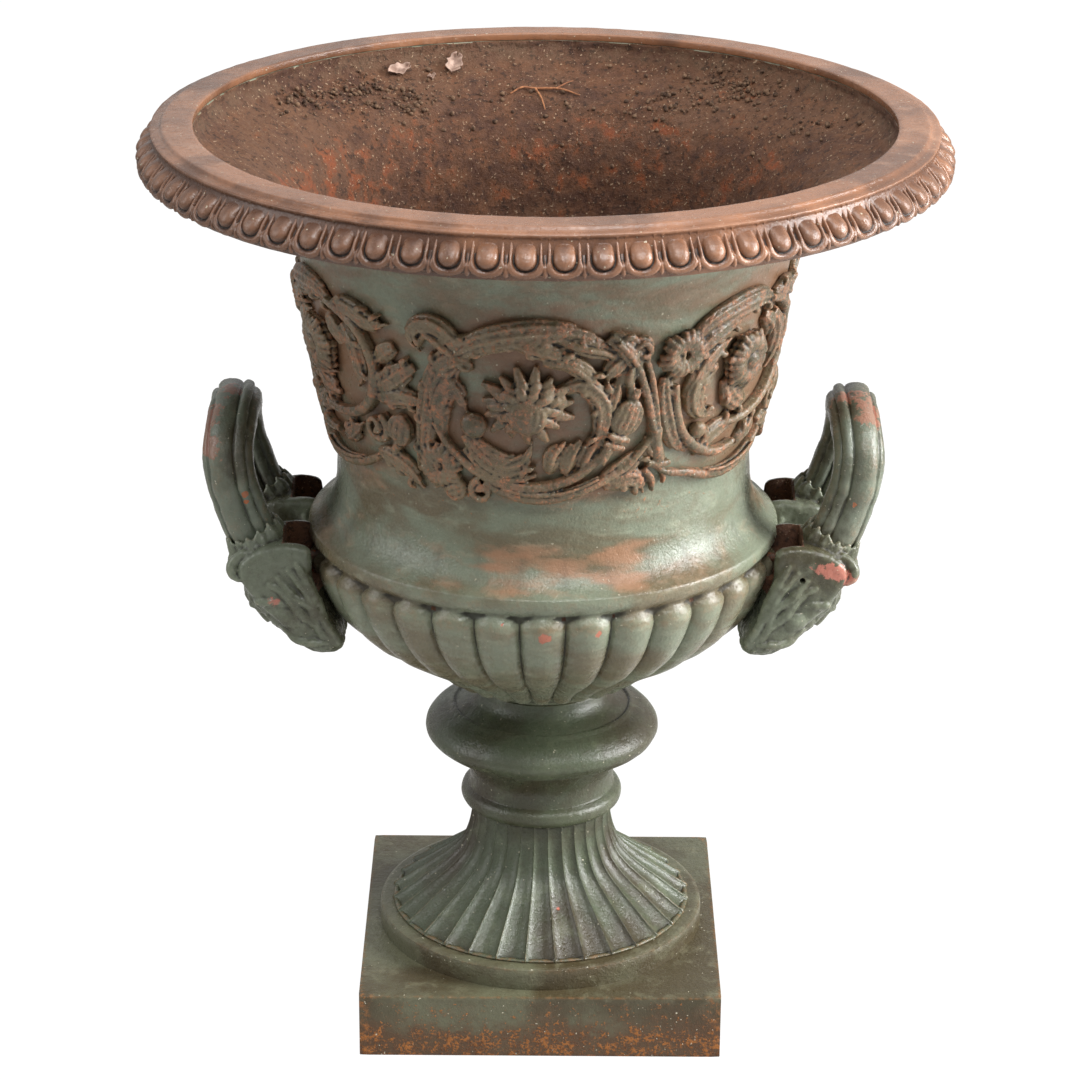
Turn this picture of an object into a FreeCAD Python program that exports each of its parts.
import FreeCAD, Part
import math
import os

# A cast iron garden planter of the campana shape, built of separate castings.
# From the ground up: a square plinth with a round step, a fluted socle, a turned knop,
# a gadrooned bowl that rises into a flaring bell, and an egg-and-dart rim. Six scroll
# panels stand on the bell. Two hoop handles are carried by four bearded heads.
# Millimetres, +Z up, origin at the centre of the underside. The front looks along -Y
# and the handles stand out along +X and -X. Castings are skinned with flat facets, a few
# to each gadroon, flute, egg and reed, round castings have as many sides as round_sides, and
# round bars as many as rod_sides.

# Overall sizes
plinth_side = 330.0
total_height = 840.0
round_sides = 32
rod_sides = 12

# Clearances between castings, and the overrun that carries a cut past a face
seat_clearance = 0.3
spigot_clearance = 0.5
overrun = 1.0
flatness = 1e-7

# Plinth
plinth_height = 61.0
plinth_wall = 11.0
plinth_step_inset = 13.5
plinth_step_height = 21.0
plinth_step_round = 4.0
plinth_spigot_height = 5.0
plinth_spigot_wall = 8.0

# Fluted socle
flute_count = 32
flute_facets = 3
socle_foot_inset = 10.8
socle_foot_edge = 5.0
socle_neck_radius = 65.5
socle_height = 102.0
socle_wall = 8.0
socle_foot_flute_depth = 6.0
socle_neck_flute_depth = 2.4
# Shares of the socle's height, with shares of the way from neck radius to foot radius
socle_flare_shares = ((0.24, 0.62), (0.42, 0.28), (0.66, 0.06), (1.0, 0.0))

# Stem knop: astragal ring, scotia, big torus and cove
astragal_radius = 75.0
astragal_height = 17.0
scotia_radius = 67.0
scotia_lip_radius = 73.0
scotia_height = 43.0
torus_radius = 108.0
torus_height = 38.0
torus_lip_radius = 81.0
cove_radius = 60.0
cove_height = 22.0
knop_bore_radius = 42.0
knop_spigot_height = 4.0
knop_spigot_wall = 6.0
# Shares of each moulding's height, with shares of the way from its start to its reach
round_shares = ((0.25, 0.9), (0.75, 0.9), (1.0, 0.0))
hollow_shares = ((0.45, 1.0), (1.0, 0.0))
torus_shares = ((0.22, 0.75), (0.55, 1.0), (0.84, 0.7), (1.0, 0.0))
cove_shares = ((0.3, 0.75), (1.0, 1.0))

# Bowl with its gadroons
gadroon_count = 32
gadroon_facets = 3
bowl_wall = 8.0
bowl_floor = 12.0
gadroon_tip_radius = 84.0
gadroon_tip_rise = 15.0
gadroon_top_rise = 150.0
belly_radius = 215.0
shoulder_inset = 3.0
shoulder_rise = 167.0
shoulder_step = 2.5
gadroon_depth = 10.0
# Shares of the height and of the reach from the tips to the belly, and of the full depth
gadroon_shares = ((0.0, 0.0, 0.0), (0.06, 0.13, 0.75), (0.46, 0.72, 1.0), (0.72, 0.94, 1.0),
                  (0.93, 1.0, 0.8), (1.0, 0.985, 0.0))

# Bell. The waist is set in from the belly, and the flare, mouth and flange from the rim
waist_inset = 30.0
waist_rise = 241.0
bell_top_inset = -2.0
flare_inset = 61.0
mouth_inset = 51.0
flange_root_inset = 43.0
flange_inset = 33.0
flange_thickness = 7.0
drain_side = 13.0
drain_ring_radius = 30.0
drain_count = 4
# Heights of the bell's top and of its flare, as shares of the way from the waist to the flange
bell_top_share = 0.615
flare_share = 0.882
# Shares of the rise and of the reach of the cove under the waist and of the flare
waist_shares = ((0.25, 0.65), (1.0, 1.0))
flare_shares = ((0.5, 0.16), (0.82, 0.5), (1.0, 1.0))

# Egg-and-dart rim
egg_count = 72
egg_facets = 3
rim_radius = 357.0
rim_height = 38.8
rim_foot_inset = 10.0
rim_shoulder_inset = 14.0
rim_plate_inset = 23.0
rim_plate_thickness = 7.0
rim_plate_step = 4.2
rim_bore_clearance = 0.5
egg_depth = 6.5
# Shares of the rim's height, of the reach from shoulder to full radius, and of the depth
egg_shares = ((0.26, 1.0, 1.0), (1.0, 0.0, 0.0))

# Tie rod down the middle with its nuts and plate washers
rod_radius = 8.0
rod_hole_clearance = 1.0
rod_nut_size = 24.0
rod_nut_height = 13.0
rod_plate_side = 60.0
rod_plate_thickness = 6.0
rod_tail = 8.0

# Hoop handles. Their reach is measured from the belly, and their feet from the shoulder
handle_leg_spacing = 116.0
handle_foot_clear = 42.0
handle_foot_drop = 3.0
handle_crown_clear = 61.0
handle_rise = 107.0
handle_bow = 12.0
handle_width = 45.0
handle_depth = 36.0
handle_reed_depth = 3.0
handle_tenon_side = 16.0
handle_tenon_length = 36.0
handle_straight_stations = 3
handle_arch_stations = 7
# Reeds round the section from the outer face of the hoop: where each starts as a share of a
# turn, and the places of its corners as shares of its width
wide_reed_shares = (0.0, 0.3, 0.7)
narrow_reed_shares = (0.0, 0.5)
reed_edge_shares = (0.085, 0.165, 0.335, 0.415, 0.585, 0.665, 0.835, 0.915)

# Bearded heads that carry the handles, measured down from the feet of the hoops
head_half_width = 37.0
head_wall = 9.0
head_reach = 112.0
head_height = 118.0
head_drop = 107.0
head_inner_inset = 44.0
head_collar_height = 13.0
head_collar_wall = 4.5
head_socket_floor = 9.0
head_web_thickness = 20.0
head_web_height = 40.0
# Side view of the head: shares of its reach from the bowl outwards and of its height
head_brow_shares = ((0.30, 1.0), (0.36, 1.0), (0.93, 0.93), (1.0, 0.68), (0.93, 0.58), (0.86, 0.56),
                    (0.87, 0.40), (0.74, 0.36), (0.70, 0.27), (0.60, 0.20), (0.50, 0.03), (0.27, 0.0),
                    (0.04, 0.14), (0.27, 0.45))
head_cheek_shares = ((0.30, 1.0), (0.36, 1.0), (0.90, 0.93), (0.96, 0.68), (0.86, 0.57), (0.78, 0.52),
                     (0.73, 0.42), (0.70, 0.34), (0.64, 0.27), (0.57, 0.19), (0.48, 0.04), (0.27, 0.01),
                     (0.06, 0.14), (0.27, 0.45))
head_temple_shares = ((0.30, 0.99), (0.36, 0.99), (0.80, 0.92), (0.84, 0.72), (0.74, 0.60), (0.66, 0.52),
                      (0.60, 0.43), (0.57, 0.35), (0.54, 0.28), (0.49, 0.20), (0.42, 0.08), (0.27, 0.05),
                      (0.12, 0.16), (0.27, 0.45))
# Shares of the half width at which the side views stand
head_slice_shares = (0.14, 0.66, 1.0)
# The open back of the head, in the same shares
head_hollow_shares = ((0.20, 0.42), (0.44, 0.26), (0.62, 0.40), (0.74, 0.62), (0.76, 0.80), (0.62, 0.82),
                      (0.42, 1.2), (0.20, 1.2))

# Bolts from inside the bowl, each through a head into the tenon of a leg
bolt_radius = 4.0
bolt_head_size = 13.0
bolt_head_height = 6.0
bolt_hole_clearance = 0.4
bolt_drop = 21.0
bolt_spot_side = 18.0
bolt_spot_depth = 3.0
bolt_end_cover = 4.0

# Scroll panels, standing on the bell. Their foot and height are shares of the way from the
# waist to the flange, their half width a share of their half pitch, and the ring and
# blossom are shares of the panel's height
panel_count = 6
panel_foot_share = 0.045
panel_height_share = 0.549
panel_half_width_share = 0.85
panel_thickness = 9.0
blossom_thickness = 16.0
scroll_radius_share = 0.418
scroll_width = 12.0
blossom_radius_share = 0.228
blossom_petals = 8
blossom_notch_share = 0.22
scroll_facets = 12
tail_width = 10.0
# Centre lines of the stems: shares of the half width across and of the height upwards
stem_shares = (((-0.30, 0.12), (-0.84, 0.32), (-0.98, 0.74), (-0.62, 0.92)),
               ((0.0, 0.10), (0.62, 0.17), (0.96, 0.52)),
               ((0.40, 0.12), (0.96, 0.03)),
               ((0.26, 0.84), (0.96, 0.92)),
               ((-0.60, 0.24), (-0.88, 0.06)))
# Leaves as tips and roots in the same shares
leaf_shares = (((-0.62, 0.62), (-0.28, 0.56)), ((-0.30, 0.18), (-0.14, 0.36)), ((0.24, 0.18), (0.10, 0.36)),
               ((0.62, 0.44), (0.28, 0.47)), ((0.26, 0.84), (0.12, 0.68)), ((-0.30, 0.86), (-0.13, 0.70)))
leaf_width = 17.0

# Radii and heights that the sizes above give
plinth_step_radius = plinth_side / 2 - plinth_step_inset
socle_foot_radius = plinth_step_radius - socle_foot_inset
shoulder_radius = belly_radius - shoulder_inset
waist_radius = belly_radius - waist_inset
bell_top_radius = belly_radius - bell_top_inset
flare_radius = rim_radius - flare_inset
mouth_radius = rim_radius - mouth_inset
flange_root_radius = rim_radius - flange_root_inset
flange_radius = rim_radius - flange_inset
rim_foot_radius = rim_radius - rim_foot_inset
rim_shoulder_radius = rim_radius - rim_shoulder_inset
rim_plate_radius = rim_radius - rim_plate_inset
handle_foot_reach = belly_radius + handle_foot_clear
handle_crown_reach = belly_radius + handle_crown_clear
head_inner_reach = belly_radius - head_inner_inset
panel_half_width = bell_top_radius * math.sin(math.pi / panel_count) * panel_half_width_share
step_top = plinth_height + plinth_step_height
socle_top = step_top + socle_height
astragal_top = socle_top + astragal_height
scotia_top = astragal_top + scotia_height
torus_top = scotia_top + torus_height
knop_top = torus_top + cove_height
bowl_floor_top = knop_top + bowl_floor
shoulder_height = knop_top + shoulder_rise
handle_foot_height = shoulder_height - handle_foot_drop
handle_crown_height = handle_foot_height + handle_rise
head_foot_height = handle_foot_height - head_drop
bolt_height = handle_foot_height - bolt_drop
waist_height = knop_top + waist_rise
flange_top = total_height - rim_plate_thickness
bell_height = flange_top - waist_height
bell_top_height = waist_height + bell_height * bell_top_share
flare_height = waist_height + bell_height * flare_share
panel_foot = waist_height + bell_height * panel_foot_share
panel_height = bell_height * panel_height_share
scroll_radius = panel_height * scroll_radius_share
blossom_radius = panel_height * blossom_radius_share
rim_shoulder = total_height - rim_plate_step
rim_base = rim_shoulder - rim_height

UP = FreeCAD.Vector(0, 0, 1)
ACROSS = FreeCAD.Vector(1, 0, 0)
FRONT_TO_BACK = FreeCAD.Vector(0, 1, 0)
CENTRE = FreeCAD.Vector(0, 0, 0)
FULL_TURN = 360
FRONT = 270
HEX_SIDES = 6
SQUARE_SIDES = 4


def between(start, end, share):
    """The value a share of the way from start to end."""
    return start + (end - start) * share


def at(azimuth, radius, height):
    """A point at an angle in degrees from +X, at a radius from the axis."""
    turn = math.radians(azimuth)
    return FreeCAD.Vector(radius * math.cos(turn), radius * math.sin(turn), height)


def ring(radius, height):
    """Corners of a round casting's outline at one height."""
    pitch = FULL_TURN / round_sides
    return [at(index * pitch, radius, height) for index in range(round_sides)]


def lobed_ring(count, facets, corner_radius, middle_radius, height, first=0):
    """Outline of equal lobes, or of flutes where the middle lies nearer the axis than the corner."""
    pitch = FULL_TURN / count
    full_swell = math.sin(math.pi * (facets // 2) / facets)
    points = []
    for index in range(count):
        for facet in range(facets):
            share = facet / facets
            swell = math.sin(math.pi * share) / full_swell
            azimuth = first + pitch * (index - 1 / 2 + share)
            points.append(at(azimuth, between(corner_radius, middle_radius, swell), height))
    return points


def flat_face(points):
    return Part.Face(Part.makePolygon(points + points[:1]))


def facets_between(a, b, c, d):
    """One flat four-sided facet, or two triangles on its shorter diagonal where it is twisted."""
    normal = (b - a).cross(c - a)
    if normal.Length and abs((d - a).dot(normal)) < flatness * normal.Length:
        return [flat_face([a, b, c, d])]
    if (c - a).Length > (d - b).Length:
        return [flat_face([a, b, d]), flat_face([b, c, d])]
    return [flat_face([a, b, c]), flat_face([a, c, d])]


def skin(rings):
    """Solid skinned with flat facets through outlines of equally many points."""
    faces = [flat_face(rings[0]), flat_face(rings[-1])]
    for lower, upper in zip(rings, rings[1:]):
        for index, start in enumerate(lower):
            following = (index + 1) % len(lower)
            faces += facets_between(start, lower[following], upper[following], upper[index])
    shell = Part.makeShell(faces)
    shell.sewShape()
    solid = Part.makeSolid(shell)
    if solid.Volume < 0:
        solid.reverse()
    return solid


def turned(places):
    """Round casting through (radius, height) places from its foot to its top."""
    return skin([ring(radius, height) for radius, height in places])


def moulding(start, reach, foot, height, shares):
    """(radius, height) places of a moulding that swells or hollows from a start radius."""
    return [(between(start, reach, radius_share), foot + height * height_share)
            for height_share, radius_share in shares]


def sweep_up(start, end, foot, top, shares):
    """(radius, height) places from a start radius at the foot to an end radius at the top."""
    return [(between(start, end, radius_share), between(foot, top, height_share))
            for height_share, radius_share in shares]


def rod(radius, base, direction, length):
    """Round bar or the cutter of a round hole."""
    return bar(rod_sides, radius * 2, base, direction, length)


def bar(sides, across_flats, base, direction, length):
    """Bar of equal flats from a base point."""
    radius = across_flats / 2 / math.cos(math.pi / sides)
    corners = [at(FULL_TURN * (index + 1 / 2) / sides, radius, 0) for index in range(sides)]
    solid = flat_face(corners).extrude(UP * length)
    solid.Placement = FreeCAD.Placement(base, FreeCAD.Rotation(UP, direction))
    return solid


def plinth_spigot_radius():
    """The step's raised ring centres the foot of the socle."""
    return socle_foot_radius - socle_foot_flute_depth - socle_wall - spigot_clearance


def plinth():
    """Hollow square block with a round step on top, open underneath."""
    half = plinth_side / 2
    block = Part.makeBox(plinth_side, plinth_side, plinth_height, FreeCAD.Vector(-half, -half, 0))
    step = turned([(plinth_step_radius, plinth_height - overrun),
                   (plinth_step_radius, step_top - plinth_step_round),
                   (plinth_step_radius - plinth_step_round, step_top)])
    spigot = turned([(plinth_spigot_radius(), step_top - overrun),
                     (plinth_spigot_radius(), step_top + plinth_spigot_height)])
    bore_radius = plinth_spigot_radius() - plinth_spigot_wall
    spigot_bore = turned([(bore_radius, step_top), (bore_radius, step_top + plinth_spigot_height + overrun)])
    pocket_half = half - plinth_wall
    pocket_side = pocket_half * 2
    pocket = Part.makeBox(pocket_side, pocket_side, plinth_height - plinth_wall + overrun,
                          FreeCAD.Vector(-pocket_half, -pocket_half, -overrun))
    dome_radius = plinth_step_radius - plinth_wall
    dome = turned([(dome_radius, 0), (dome_radius, step_top - plinth_wall)])
    hole = rod(rod_radius + rod_hole_clearance, CENTRE, UP, step_top + overrun)
    return block.fuse([step, spigot]).cut([spigot_bore, pocket, dome, hole])


def socle_stations():
    """(arris radius, groove radius, height) from the foot to the neck."""
    foot_groove = socle_foot_radius - socle_foot_flute_depth
    stations = [(socle_foot_radius, foot_groove, step_top),
                (socle_foot_radius, foot_groove, step_top + socle_foot_edge)]
    for height_share, reach_share in socle_flare_shares:
        arris = between(socle_neck_radius, socle_foot_radius, reach_share)
        depth = between(socle_neck_flute_depth, socle_foot_flute_depth, reach_share)
        stations.append((arris, arris - depth, step_top + socle_height * height_share))
    return stations


def socle_bore():
    return socle_neck_radius - socle_neck_flute_depth - socle_wall


def fluted_socle():
    """Hollow trumpet of concave flutes that meet in sharp arrises."""
    stations = socle_stations()
    trumpet = skin([lobed_ring(flute_count, flute_facets, arris, groove, height)
                    for arris, groove, height in stations])
    foot_bore = stations[0][1] - socle_wall
    hollow = turned([(foot_bore, step_top - overrun),
                     (foot_bore, step_top + socle_foot_edge / 2),
                     (stations[3][1] - socle_wall, stations[3][2]),
                     (socle_bore(), stations[-2][2]),
                     (socle_bore(), socle_top + overrun)])
    return trumpet.cut(hollow)


def stem_knop():
    """Astragal, scotia, torus and cove, bored through and spigoted into its neighbours."""
    spigot_radius = socle_bore() - spigot_clearance
    bowl_spigot_radius = knop_bore_radius + knop_spigot_wall
    body = turned([(socle_neck_radius, socle_top)]
                  + moulding(socle_neck_radius, astragal_radius, socle_top, astragal_height, round_shares)
                  + moulding(scotia_lip_radius, scotia_radius, astragal_top, scotia_height, hollow_shares)
                  + moulding(torus_lip_radius, torus_radius, scotia_top, torus_height, torus_shares)
                  + moulding(torus_lip_radius, cove_radius, torus_top, cove_height, cove_shares))
    foot_spigot = turned([(spigot_radius, socle_top - knop_spigot_height),
                          (spigot_radius, socle_top + overrun)])
    head_spigot = turned([(bowl_spigot_radius, knop_top - overrun),
                          (bowl_spigot_radius, knop_top + knop_spigot_height)])
    bore = turned([(knop_bore_radius, socle_top - knop_spigot_height - overrun),
                   (knop_bore_radius, knop_top + knop_spigot_height + overrun)])
    return body.fuse([foot_spigot, head_spigot]).cut(bore)


def gadroon_stations():
    """(valley radius, crest radius, height) from the seat on the knop to the shoulder."""
    tip = knop_top + gadroon_tip_rise
    top = knop_top + gadroon_top_rise
    stations = [(cove_radius, cove_radius, knop_top)]
    for height_share, reach_share, depth_share in gadroon_shares:
        crest = between(gadroon_tip_radius, belly_radius, reach_share)
        stations.append((crest - gadroon_depth * depth_share, crest, between(tip, top, height_share)))
    stations.append((shoulder_radius, shoulder_radius, shoulder_height))
    return stations


def bell_places(offset):
    """(radius, height) places of the bell from the shoulder to the flare, set in by an offset."""
    shoulder = shoulder_radius - shoulder_step - offset
    return ([(shoulder, shoulder_height - overrun), (shoulder, shoulder_height)]
            + sweep_up(shoulder, waist_radius - offset, shoulder_height, waist_height, waist_shares)
            + [(bell_top_radius - offset, bell_top_height)]
            + sweep_up(bell_top_radius - offset, flare_radius - offset, bell_top_height,
                       flare_height + offset, flare_shares))


def bowl_inside():
    """(radius, height) places of the bowl's hollow from its floor to the mouth."""
    stations = gadroon_stations()
    floor_radius = knop_bore_radius + knop_spigot_wall
    return ([(floor_radius, bowl_floor_top),
             (stations[3][0] - bowl_wall, stations[3][2]),
             (stations[4][0] - bowl_wall, stations[4][2])]
            + bell_places(bowl_wall)[1:]
            + [(mouth_radius, flange_top - flange_thickness), (mouth_radius, flange_top + overrun)])


def bowl():
    """Gadrooned underside, waisted bell and flare with a flange for the rim, in one casting."""
    underside = skin([lobed_ring(gadroon_count, gadroon_facets, valley, crest, height)
                      for valley, crest, height in gadroon_stations()])
    flange_foot = flange_top - flange_thickness
    upper = turned(bell_places(0) + [(flange_root_radius, flange_foot),
                                     (flange_radius, flange_foot + overrun),
                                     (flange_radius, flange_top)])
    cuts = [turned(bowl_inside()), turned([(bowl_socket_radius(), knop_top - overrun),
                                           (bowl_socket_radius(), knop_top + bowl_socket_depth())])]
    low = knop_top - overrun
    through = bowl_floor + overrun + overrun
    cuts.append(rod(rod_radius + rod_hole_clearance, at(0, 0, low), UP, through))
    for index in range(drain_count):
        azimuth = FULL_TURN * (index + 1 / 2) / drain_count
        cuts.append(bar(SQUARE_SIDES, drain_side, at(azimuth, drain_ring_radius, low), UP, through))
    cuts += [head_bolt_cutter(azimuth) for azimuth in head_bolt_azimuths()]
    return underside.fuse(upper).cut(cuts)


def bowl_socket_radius():
    return knop_bore_radius + knop_spigot_wall + spigot_clearance


def bowl_socket_depth():
    return knop_spigot_height + spigot_clearance


def egg_and_dart_rim():
    """Ring of eggs under a flat plate that lies on the bowl's flange."""
    first = FULL_TURN / egg_count / 2
    outlines = [lobed_ring(egg_count, egg_facets, rim_foot_radius, rim_foot_radius, rim_base, first)]
    for height_share, reach_share, depth_share in egg_shares:
        crest = between(rim_shoulder_radius, rim_radius, reach_share)
        outlines.append(lobed_ring(egg_count, egg_facets, crest - egg_depth * depth_share, crest,
                                   rim_base + rim_height * height_share, first))
    plate = turned([(rim_plate_radius, rim_shoulder - overrun), (rim_plate_radius, total_height)])
    bore_radius = flange_radius + rim_bore_clearance
    bore = turned([(bore_radius, rim_base - overrun), (bore_radius, flange_top)])
    mouth = turned([(mouth_radius, rim_base - overrun), (mouth_radius, total_height + overrun)])
    return skin(outlines).fuse(plate).cut([bore, mouth])


def tenon_reach():
    """Distance along X of a tenon's middle at the height of its bolt."""
    direction = leg_direction()
    return handle_foot_reach - direction.x * (handle_foot_height - bolt_height) / direction.z


def tenon_radius():
    """Distance from the axis of a tenon's middle at the height of its bolt."""
    return math.hypot(tenon_reach(), handle_leg_spacing / 2)


def head_bolt_azimuths():
    """Azimuths of the four bolts, each square to the bowl's axis and through a tenon's middle."""
    lean = math.degrees(math.atan2(handle_leg_spacing / 2, tenon_reach()))
    return [lean, 180 - lean, 180 + lean, FULL_TURN - lean]


def bowl_wall_inside(height):
    """Inner radius of the bowl at a height."""
    places = bowl_inside()
    for (low_radius, low), (high_radius, high) in zip(places, places[1:]):
        if low <= height <= high and high > low:
            return between(low_radius, high_radius, (height - low) / (high - low))
    return mouth_radius


def bell_wall_outside(height):
    """Outer radius of the bell at a height."""
    places = bell_places(0)
    for (low_radius, low), (high_radius, high) in zip(places, places[1:]):
        if low <= height <= high and high > low:
            return between(low_radius, high_radius, (height - low) / (high - low))
    return flange_radius


def spot_face_radius():
    """Distance from the axis of the flat that each bolt's head bears on, inside the bowl."""
    return bowl_wall_inside(bolt_height) * math.cos(math.pi / round_sides) + bolt_spot_depth


def bolt_way(azimuth, length):
    """Cored square way of a bolt, outwards from inside the bowl's wall."""
    return bar(SQUARE_SIDES, (bolt_radius + bolt_hole_clearance) * 2, at(azimuth, waist_radius, bolt_height),
               at(azimuth, 1, 0), length)


def head_bolt_cutter(azimuth):
    """Way of a bolt through the bowl's wall with a flat for its head."""
    spot = bar(SQUARE_SIDES, bolt_spot_side, at(azimuth, spot_face_radius(), bolt_height), at(azimuth, -1, 0),
               bolt_spot_side)
    return bolt_way(azimuth, belly_radius).fuse(spot)


def head_bolt(azimuth):
    """Square-headed bolt that draws a head and a leg's tenon against the bowl."""
    head = bar(SQUARE_SIDES, bolt_head_size, at(azimuth, spot_face_radius(), bolt_height), at(azimuth, -1, 0),
               bolt_head_height)
    return head.fuse(tenon_tap(azimuth, spot_face_radius() - overrun))


def tenon_tap(azimuth, start):
    """Round bar of a bolt's shank, from a distance off the axis to its blind end in the tenon."""
    end = tenon_radius() + handle_tenon_side / 2 - bolt_end_cover
    return rod(bolt_radius, at(azimuth, start, bolt_height), at(azimuth, 1, 0), end - start)


def head_slice(shares, side):
    """Side view of the right front head at a distance across from its middle."""
    middle = -handle_leg_spacing / 2
    return [FreeCAD.Vector(head_inner_reach + head_reach * across, middle + side,
                           head_foot_height + head_height * up) for across, up in shares]


def handle_path():
    """Centre line points of the right hoop with the directions across its section."""
    half = handle_leg_spacing / 2
    spring = handle_crown_height - half
    points = []
    for index in range(handle_straight_stations):
        points.append((-half, between(handle_foot_height, spring, index / handle_straight_stations)))
    for index in range(handle_arch_stations):
        turn = math.pi * index / (handle_arch_stations - 1)
        points.append((-half * math.cos(turn), spring + half * math.sin(turn)))
    for index in reversed(range(handle_straight_stations)):
        points.append((half, between(handle_foot_height, spring, index / handle_straight_stations)))
    return points


def handle_reach(height):
    """Distance from the axis of the bowed hoop at a height."""
    share = (height - handle_foot_height) / (handle_crown_height - handle_foot_height)
    return between(handle_foot_reach, handle_crown_reach, share) + handle_bow * math.sin(math.pi * share)


def reeded_section(middle, outward, across, grow):
    """Outline of the reeded rod about a centre-line point, larger by a margin."""
    edges = reed_edge_shares + (reed_edge_shares[0] + 1,)
    points = []
    for index, (start, end) in enumerate(zip(edges, edges[1:])):
        for share in wide_reed_shares if index % 2 else narrow_reed_shares:
            turn = 2 * math.pi * between(start, end, share)
            swell = handle_reed_depth * (math.sin(math.pi * share) - 1)
            points.append(middle + outward * ((handle_depth / 2 + grow + swell) * math.cos(turn))
                          + across * ((handle_width / 2 + grow + swell) * math.sin(turn)))
    return points


def handle_sections(grow):
    """Sections of the right hoop from its front foot over the crown to its rear foot."""
    path = handle_path()
    middles = [FreeCAD.Vector(handle_reach(height), side, height) for side, height in path]
    sections = []
    for index, middle in enumerate(middles):
        before = middles[max(index - 1, 0)]
        after = middles[min(index + 1, len(middles) - 1)]
        ahead = after - before
        ahead.normalize()
        across = (ACROSS - ahead * ACROSS.dot(ahead))
        across.normalize()
        outward = across.cross(ahead)
        sections.append(reeded_section(middle, outward, across, grow))
    return sections


def leg_direction():
    """Direction of the hoop's leg where it enters the head, pointing up the leg."""
    rise = handle_path()[1][1] - handle_foot_height
    lean = handle_reach(handle_path()[1][1]) - handle_foot_reach
    direction = FreeCAD.Vector(lean, 0, rise)
    direction.normalize()
    return direction


def leg_foot(side):
    return FreeCAD.Vector(handle_foot_reach, side * handle_leg_spacing / 2, handle_foot_height)


def right_handle():
    """Reeded hoop with a square tenon under each leg, tapped for its bolt."""
    hoop = skin(handle_sections(0))
    down = leg_direction() * -1
    tenons = []
    for side in (-1, 1):
        start = leg_foot(side) - down * overrun
        tenons.append(bar(SQUARE_SIDES, handle_tenon_side, start, down, handle_tenon_length + overrun))
    azimuths = head_bolt_azimuths()
    taps = [tenon_tap(azimuth, tenon_radius() - handle_tenon_side) for azimuth in (azimuths[0], azimuths[-1])]
    return hoop.fuse(tenons).cut(taps)


def right_front_head():
    """Hollow bearded head with a collar and socket for the hoop's leg and a web against the bowl."""
    slices = []
    for share, shares in zip(reversed(head_slice_shares), (head_temple_shares, head_cheek_shares,
                                                          head_brow_shares)):
        slices.append(head_slice(shares, -head_half_width * share))
    for share, shares in zip(head_slice_shares, (head_brow_shares, head_cheek_shares, head_temple_shares)):
        slices.append(head_slice(shares, head_half_width * share))
    head = skin(slices)
    inner_half = head_half_width - head_wall
    hollow = skin([head_slice(head_hollow_shares, -inner_half), head_slice(head_hollow_shares, inner_half)])
    down = leg_direction() * -1
    foot = leg_foot(-1)
    collar_top = reeded_section(foot, *leg_axes(), head_collar_wall)
    collar_foot = [point + down * head_collar_height for point in
                   reeded_section(foot, *leg_axes(), head_collar_wall + head_collar_wall)]
    collar = skin([collar_foot, collar_top])
    boss_depth = handle_tenon_length + spigot_clearance + head_socket_floor
    boss = bar(SQUARE_SIDES, handle_tenon_side + head_wall * 2, foot, down, boss_depth)
    socket = bar(SQUARE_SIDES, handle_tenon_side + seat_clearance * 2, foot - down * overrun, down,
                 handle_tenon_length + spigot_clearance + overrun)
    azimuth = head_bolt_azimuths()[-1]
    web = Part.makeBox(belly_radius + head_web_thickness - waist_radius, head_half_width * 2, head_web_height,
                       FreeCAD.Vector(waist_radius, -head_half_width, bolt_height - head_web_height / 2))
    web.rotate(CENTRE, UP, azimuth)
    shell = head.cut(hollow).fuse([collar, boss, web.common(head)])
    leg_space = skin(handle_sections(seat_clearance)[:2])
    return shell.cut([socket, bolt_way(azimuth, tenon_radius() - waist_radius), leg_space, bowl_envelope()])


def leg_axes():
    """Directions outward from the hoop and across it at the foot of the front leg."""
    ahead = leg_direction()
    across = ACROSS - ahead * ACROSS.dot(ahead)
    across.normalize()
    return across.cross(ahead), across


def bowl_envelope():
    """Plain outer form of the bowl clear of its gadroons, which the heads seat against."""
    around = 1 / math.cos(math.pi / round_sides)
    places = [(crest, height) for valley, crest, height in gadroon_stations()[1:]] + bell_places(0)[2:4]
    return turned([((radius + seat_clearance) * around, height) for radius, height in places])


def panel_frame(azimuth):
    """Directions across and up of a panel whose middle is at an azimuth."""
    return UP.cross(at(azimuth, 1, 0)), UP


def panel_point(azimuth, across_share, up_share):
    """Point of the panel's flat drawing in the plane through the planter's axis."""
    across, up = panel_frame(azimuth)
    return (across * (panel_half_width * across_share)
            + up * (panel_foot + panel_height * up_share))


def flat_disc(azimuth, middle, radii):
    """Many-sided outline about a point of the panel's drawing."""
    across, up = panel_frame(azimuth)
    points = []
    for index, radius in enumerate(radii):
        turn = 2 * math.pi * index / len(radii)
        points.append(middle + across * (radius * math.cos(turn)) + up * (radius * math.sin(turn)))
    return points


def strip(points, widths, outward):
    """Outline of a stem of changing width along a line of points."""
    left = []
    right = []
    for index, point in enumerate(points):
        ahead = points[min(index + 1, len(points) - 1)] - points[max(index - 1, 0)]
        ahead.normalize()
        aside = outward.cross(ahead) * (widths[index] / 2)
        left.append(point + aside)
        right.append(point - aside)
    return left + right[::-1]


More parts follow.
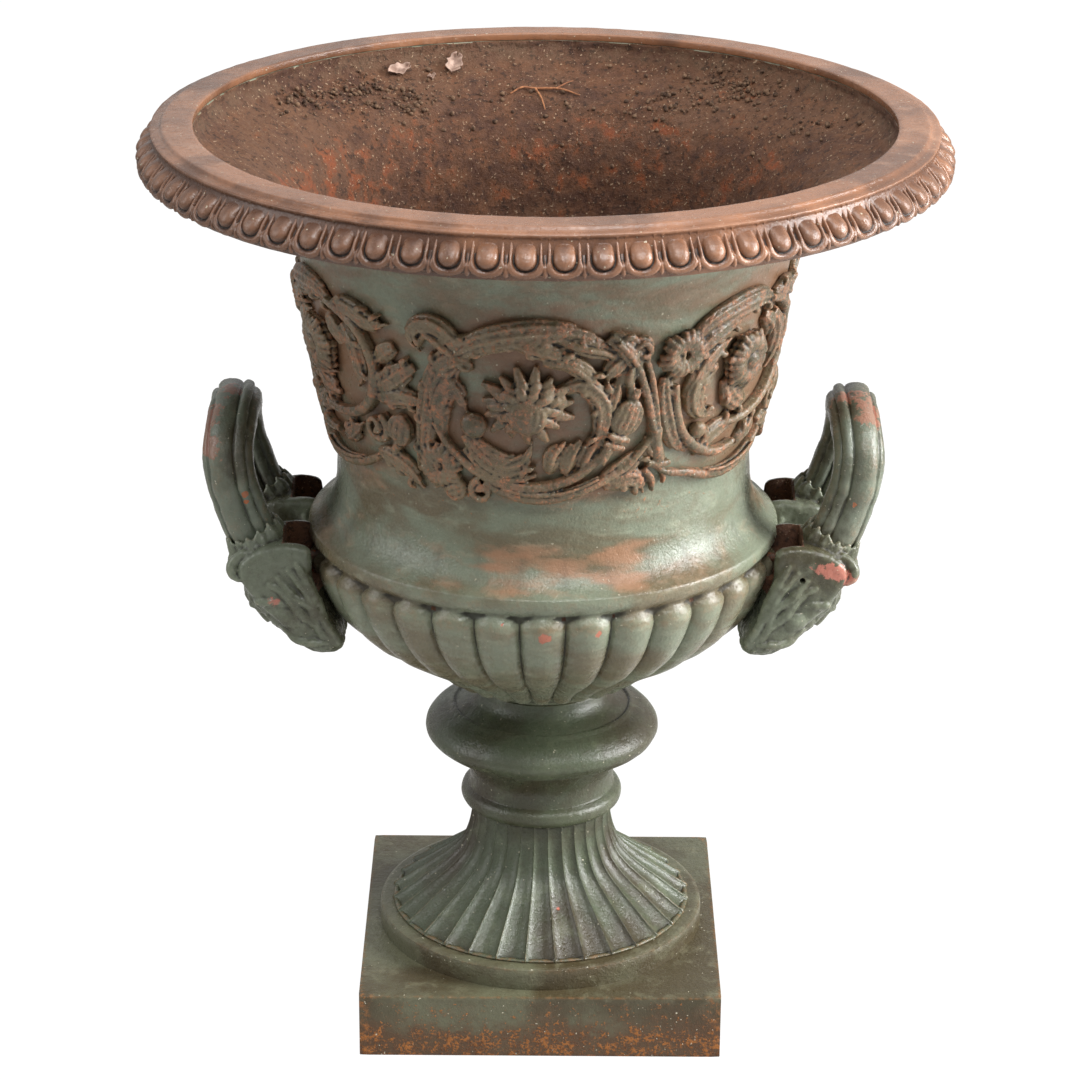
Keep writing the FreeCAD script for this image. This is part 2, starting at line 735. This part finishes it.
def panel_band(thickness):
    """Wall of a given thickness that stands on the bell where the panels are."""
    low = panel_foot - overrun - tail_width
    high = low + panel_height + overrun + tail_width * 2
    low_radius = bell_wall_outside(low)
    high_radius = bell_wall_outside(high)
    outer = turned([(low_radius + seat_clearance + thickness, low),
                    (high_radius + seat_clearance + thickness, high)])
    inner = turned([(low_radius + seat_clearance, low - overrun),
                    (high_radius + seat_clearance, high + overrun)])
    return outer.cut(inner)


def panel_drawing(azimuth):
    """Prisms of the ring, stems and leaves, cut from the panel's wall."""
    outward = at(azimuth, 1, 0)
    depth = outward * (bell_top_radius + blossom_thickness * 2)
    middle = panel_point(azimuth, 0, 1 / 2)
    inner_radius = scroll_radius - scroll_width
    outer = flat_face(flat_disc(azimuth, middle, [scroll_radius] * scroll_facets)).extrude(depth)
    inner = flat_face(flat_disc(azimuth, middle, [inner_radius] * scroll_facets)).extrude(depth)
    pieces = [outer.cut(inner)]
    for stem in stem_shares:
        points = [panel_point(azimuth, across_share, up_share) for across_share, up_share in stem]
        last = len(stem) - 1
        widths = [between(scroll_width, tail_width / 2, index / last) for index in range(len(stem))]
        pieces.append(flat_face(strip(points, widths, outward)).extrude(depth))
    for tip_share, root_share in leaf_shares:
        tip = panel_point(azimuth, *tip_share)
        root = panel_point(azimuth, *root_share)
        belly = between(root, tip, 1 / 2)
        leaf = strip([root, belly, tip], [leaf_width / 2, leaf_width, leaf_width / 8], outward)
        pieces.append(flat_face(leaf).extrude(depth))
    return pieces


def blossom(azimuth):
    """Raised many-petalled flower in the middle of a panel."""
    depth = at(azimuth, 1, 0) * (bell_top_radius + blossom_thickness * 2)
    middle = panel_point(azimuth, 0, 1 / 2)
    radii = []
    for index in range(blossom_petals):
        radii += [blossom_radius, blossom_radius * (1 - blossom_notch_share)]
    return flat_face(flat_disc(azimuth, middle, radii)).extrude(depth)


def scroll_panel(azimuth, band, flower_band):
    """Panel of scrolling stems and leaves round a blossom, in one casting."""
    drawing = panel_drawing(azimuth)
    flat = drawing[0].fuse(drawing[1:])
    return band.common(flat).fuse(flower_band.common(blossom(azimuth)))


def panel_azimuths():
    return [FRONT + FULL_TURN * index / panel_count for index in range(panel_count)]


def tie_rod_places():
    """Heights of the rod's foot, the step's underside, and the rod's head."""
    plate_top = step_top - plinth_wall
    foot = plate_top - rod_plate_thickness - rod_nut_height - rod_tail
    head = bowl_floor_top + rod_plate_thickness + rod_nut_height + rod_tail
    return foot, plate_top, head


def tie_rod():
    foot, plate_top, head = tie_rod_places()
    return rod(rod_radius, at(0, 0, foot), UP, head - foot)


def rod_nut(base):
    """Hexagonal nut on the tie rod."""
    nut = bar(HEX_SIDES, rod_nut_size, at(0, 0, base), UP, rod_nut_height)
    return nut.cut(rod(rod_radius, at(0, 0, base), UP, rod_nut_height))


def rod_plate(base):
    """Square plate washer that spreads the tie rod's pull."""
    plate = bar(SQUARE_SIDES, rod_plate_side, at(0, 0, base), UP, rod_plate_thickness)
    return plate.cut(rod(rod_radius + rod_hole_clearance, at(0, 0, base), UP, rod_plate_thickness))


def mirrored(shape, *normals):
    """Copy of the right front piece for another corner."""
    for normal in normals:
        shape = shape.mirror(CENTRE, normal)
    return shape


def build():
    """Every sub-part by its name."""
    foot, plate_top, head = tie_rod_places()
    low_plate = plate_top - rod_plate_thickness
    parts = {
        "plinth": plinth(),
        "fluted_socle": fluted_socle(),
        "stem_knop": stem_knop(),
        "bowl": bowl(),
        "egg_and_dart_rim": egg_and_dart_rim(),
        "tie_rod": tie_rod(),
        "tie_rod_plates": Part.makeCompound([rod_plate(bowl_floor_top), rod_plate(low_plate)]),
        "tie_rod_nuts": Part.makeCompound([rod_nut(bowl_floor_top + rod_plate_thickness),
                                           rod_nut(low_plate - rod_nut_height)]),
    }
    handle = right_handle()
    parts["handle_right"] = handle
    parts["handle_left"] = mirrored(handle, ACROSS)
    bearded_head = right_front_head()
    parts["head_right_front"] = bearded_head
    parts["head_right_rear"] = mirrored(bearded_head, FRONT_TO_BACK)
    parts["head_left_front"] = mirrored(bearded_head, ACROSS)
    parts["head_left_rear"] = mirrored(bearded_head, ACROSS, FRONT_TO_BACK)
    band = panel_band(panel_thickness)
    flower_band = panel_band(blossom_thickness)
    for index, azimuth in enumerate(panel_azimuths()):
        parts["scroll_panel_" + str(index + 1)] = scroll_panel(azimuth, band, flower_band)
    parts["head_bolts"] = Part.makeCompound([head_bolt(azimuth) for azimuth in head_bolt_azimuths()])
    return parts


os.makedirs("parts", exist_ok=True)
for name, shape in build().items():
    shape.exportStep("parts/" + name + ".step")
    print(name, len(shape.Solids), "solids", round(shape.Volume), "mm3, valid", shape.isValid())
